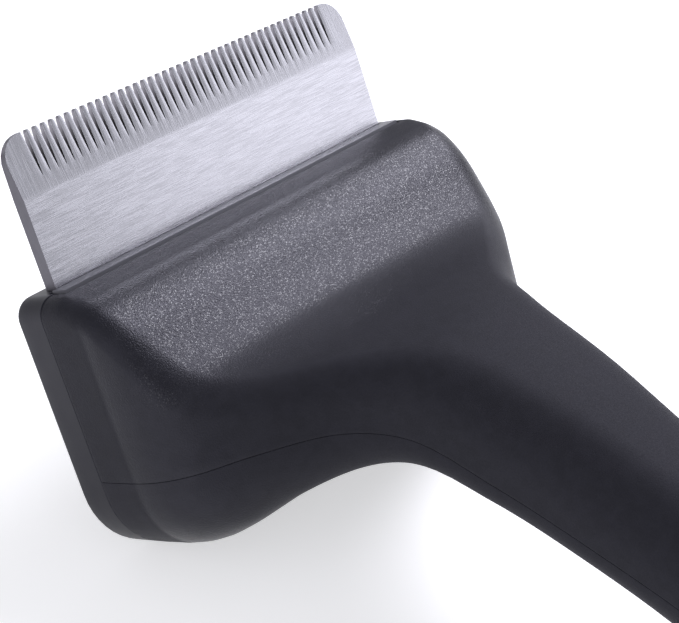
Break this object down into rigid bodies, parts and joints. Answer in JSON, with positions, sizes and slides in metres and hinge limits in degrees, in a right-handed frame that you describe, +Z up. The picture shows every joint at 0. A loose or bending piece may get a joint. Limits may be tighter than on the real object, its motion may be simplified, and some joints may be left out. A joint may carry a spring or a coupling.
{
  "type": "dematting comb",
  "caption": "Pet undercoat comb: fine-toothed steel blade in a T-shaped plastic head on a bent handle, with a thumb-pushed hair ejector plate.",
  "frame": {"origin": "Centre of the bounding box's bottom face, with the comb lying on its back: the head's lower edge and the butt of the handle touch the floor.", "axes": "+X runs along the blade, +Y from the handle towards the head, +Z up. The teeth point up and forwards, 32.5 degrees off vertical."},
  "size_m": [0.051, 0.1444, 0.0348],
  "materials": {
    "shell_plastic": "fine spark texture, charcoal",
    "cover_plastic": "satin, charcoal",
    "ejector_plastic": "satin, dark grey",
    "button_plastic": "satin, dark grey",
    "blade_steel": "brushed along the blade, ground at the teeth",
    "screw_steel": "turned",
    "spring_steel": "drawn wire",
    "grip_rubber": "matte"
  },
  "bodies": {
    "handle": {"inner_shell": "shell_plastic", "outer_shell": "shell_plastic", "front_cover": "cover_plastic", "blade": "blade_steel", "cover_screw_left": "screw_steel", "cover_screw_centre": "screw_steel", "cover_screw_right": "screw_steel", "shell_screw_front": "screw_steel", "shell_screw_middle": "screw_steel", "shell_screw_rear": "screw_steel", "end_cap_screw": "screw_steel", "grip_sleeve": "grip_rubber", "end_cap": "cover_plastic", "return_spring_left": "spring_steel", "return_spring_right": "spring_steel"},
    "ejector": {"ejector_plate": "ejector_plastic", "ejector_carrier": "ejector_plastic", "thumb_slider": "button_plastic", "link_screw_left": "screw_steel", "link_screw_right": "screw_steel"}
  },
  "joints": [
    {"name": "ejector_slide", "type": "slide", "parent": "handle", "child": "ejector", "axis": [0, 0.5378, 0.8431], "range_m": [0, 0.006], "stiffness_N_per_m": 500, "springref_m": -0.004, "deforming": ["return_spring_left", "return_spring_right"]}
  ]
}
